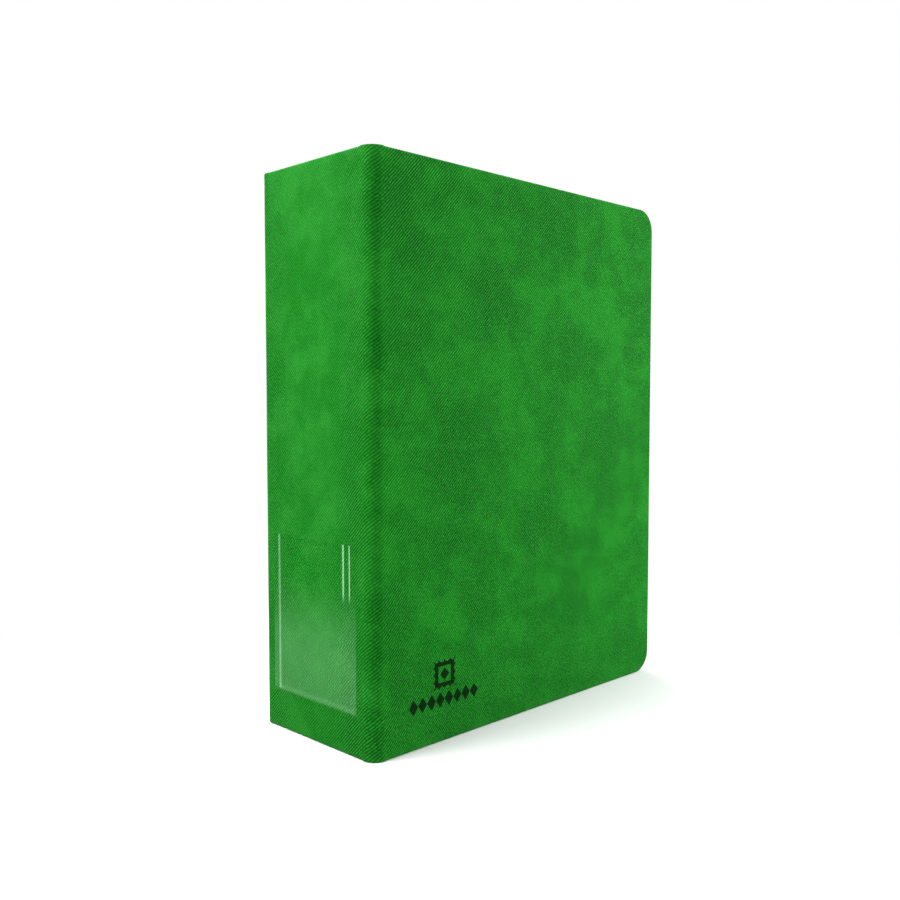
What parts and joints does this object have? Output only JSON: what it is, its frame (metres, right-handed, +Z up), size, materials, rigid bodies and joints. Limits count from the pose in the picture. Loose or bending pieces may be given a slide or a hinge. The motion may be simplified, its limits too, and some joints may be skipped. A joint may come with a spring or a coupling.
{
  "type": "ring-bound stamp album",
  "caption": "Upright ring-bound album: soft-napped case with rounded spine, label pocket, opening D-rings with triggers, and hinged stock leaves with clear strips.",
  "frame": {"origin": "bottom centre of the closed album's box", "axes": "+X from the spine to the fore-edge, -Y out of the front cover, +Z up"},
  "size_m": [0.256, 0.1, 0.32],
  "materials": {
    "cover_cloth": "matt synthetic nubuck with a fine diagonal rib, green, softly mottled",
    "board_core": "plain grey binding board",
    "lining_cloth": "black microfibre, matt",
    "pocket_film": "clear glossy film",
    "plated_steel": "bright nickel plate",
    "leaf_card": "matt black card",
    "strip_film": "crystal-clear film"
  },
  "bodies": {
    "back_cover": {"back_cover_skin": "cover_cloth", "back_cover_board": "board_core", "back_cover_lining": "lining_cloth", "ring_rail": "plated_steel", "mounting_rivets": "plated_steel", "trigger_pin_top": "plated_steel", "trigger_pin_bottom": "plated_steel", "leaf_binding_strips": "leaf_card"},
    "spine": {"spine_skin": "cover_cloth", "spine_board": "board_core", "spine_lining": "lining_cloth", "label_pocket": "pocket_film"},
    "front_cover": {"front_cover_skin": "cover_cloth", "front_cover_board": "board_core", "front_cover_lining": "lining_cloth"},
    "fore_ring_side": {"fore_blade": "plated_steel", "ring_leg_top": "plated_steel", "ring_leg_middle": "plated_steel", "ring_leg_bottom": "plated_steel"},
    "arch_ring_side": {"spine_blade": "plated_steel", "ring_arch_top": "plated_steel", "ring_arch_middle": "plated_steel", "ring_arch_bottom": "plated_steel"},
    "top_trigger": {"trigger_top": "plated_steel"},
    "bottom_trigger": {"trigger_bottom": "plated_steel"},
    "leaf_1": {"leaf_1_sheet": "leaf_card", "leaf_1_pockets": "strip_film"},
    "leaf_2": {"leaf_2_sheet": "leaf_card", "leaf_2_pockets": "strip_film"},
    "leaf_3": {"leaf_3_sheet": "leaf_card", "leaf_3_pockets": "strip_film"},
    "leaf_4": {"leaf_4_sheet": "leaf_card", "leaf_4_pockets": "strip_film"},
    "leaf_5": {"leaf_5_sheet": "leaf_card", "leaf_5_pockets": "strip_film"},
    "leaf_6": {"leaf_6_sheet": "leaf_card", "leaf_6_pockets": "strip_film"},
    "leaf_7": {"leaf_7_sheet": "leaf_card", "leaf_7_pockets": "strip_film"},
    "leaf_8": {"leaf_8_sheet": "leaf_card", "leaf_8_pockets": "strip_film"}
  },
  "joints": [
    {"name": "back_hinge", "type": "hinge", "parent": "back_cover", "child": "spine", "pos_m": [-0.12508, 0.04828, 0.16], "axis": [0, 0, -1], "range_deg": [0, 90]},
    {"name": "front_hinge", "type": "hinge", "parent": "spine", "child": "front_cover", "pos_m": [-0.12508, -0.04828, 0.16], "axis": [0, 0, -1], "range_deg": [0, 180]},
    {"name": "ring_opening", "type": "hinge", "parent": "back_cover", "child": "fore_ring_side", "pos_m": [-0.08365, 0.0429, 0.16], "axis": [0, 0, 1], "range_deg": [0, 6]},
    {"name": "arch_opening", "type": "hinge", "parent": "back_cover", "child": "arch_ring_side", "pos_m": [-0.11295, 0.0429, 0.16], "axis": [0, 0, 1], "range_deg": [-6, 0]},
    {"name": "top_trigger_press", "type": "hinge", "parent": "back_cover", "child": "top_trigger", "pos_m": [-0.0983, 0.044, 0.2995], "axis": [-1, 0, 0], "range_deg": [0, 12]},
    {"name": "bottom_trigger_press", "type": "hinge", "parent": "back_cover", "child": "bottom_trigger", "pos_m": [-0.0983, 0.044, 0.0205], "axis": [1, 0, 0], "range_deg": [0, 12]},
    {"name": "leaf_1_turn", "type": "hinge", "parent": "back_cover", "child": "leaf_1", "pos_m": [-0.0788, 0.0346, 0.16], "axis": [0, 0, -1], "range_deg": [0, 4]},
    {"name": "leaf_2_turn", "type": "hinge", "parent": "back_cover", "child": "leaf_2", "pos_m": [-0.0788, 0.0306, 0.16], "axis": [0, 0, -1], "range_deg": [0, 12]},
    {"name": "leaf_3_turn", "type": "hinge", "parent": "back_cover", "child": "leaf_3", "pos_m": [-0.0788, 0.0266, 0.16], "axis": [0, 0, -1], "range_deg": [0, 22]},
    {"name": "leaf_4_turn", "type": "hinge", "parent": "back_cover", "child": "leaf_4", "pos_m": [-0.0788, 0.0226, 0.16], "axis": [0, 0, -1], "range_deg": [0, 32]},
    {"name": "leaf_5_turn", "type": "hinge", "parent": "back_cover", "child": "leaf_5", "pos_m": [-0.0788, 0.0186, 0.16], "axis": [0, 0, -1], "range_deg": [0, 42]},
    {"name": "leaf_6_turn", "type": "hinge", "parent": "back_cover", "child": "leaf_6", "pos_m": [-0.0788, 0.0146, 0.16], "axis": [0, 0, -1], "range_deg": [0, 52]},
    {"name": "leaf_7_turn", "type": "hinge", "parent": "back_cover", "child": "leaf_7", "pos_m": [-0.0788, 0.0106, 0.16], "axis": [0, 0, -1], "range_deg": [0, 62]},
    {"name": "leaf_8_turn", "type": "hinge", "parent": "back_cover", "child": "leaf_8", "pos_m": [-0.0788, 0.0066, 0.16], "axis": [0, 0, -1], "range_deg": [0, 72]}
  ],
  "couplings": [
    {"joint": "arch_opening", "follows": "ring_opening", "ratio": -1},
    {"joint": "top_trigger_press", "follows": "ring_opening", "ratio": 2},
    {"joint": "bottom_trigger_press", "follows": "ring_opening", "ratio": 2},
    {"joint": "leaf_1_turn", "follows": "front_hinge", "ratio": 0.022222},
    {"joint": "leaf_2_turn", "follows": "front_hinge", "ratio": 0.066667},
    {"joint": "leaf_3_turn", "follows": "front_hinge", "ratio": 0.12222},
    {"joint": "leaf_4_turn", "follows": "front_hinge", "ratio": 0.17778},
    {"joint": "leaf_5_turn", "follows": "front_hinge", "ratio": 0.23333},
    {"joint": "leaf_6_turn", "follows": "front_hinge", "ratio": 0.28889},
    {"joint": "leaf_7_turn", "follows": "front_hinge", "ratio": 0.34444},
    {"joint": "leaf_8_turn", "follows": "front_hinge", "ratio": 0.4}
  ]
}
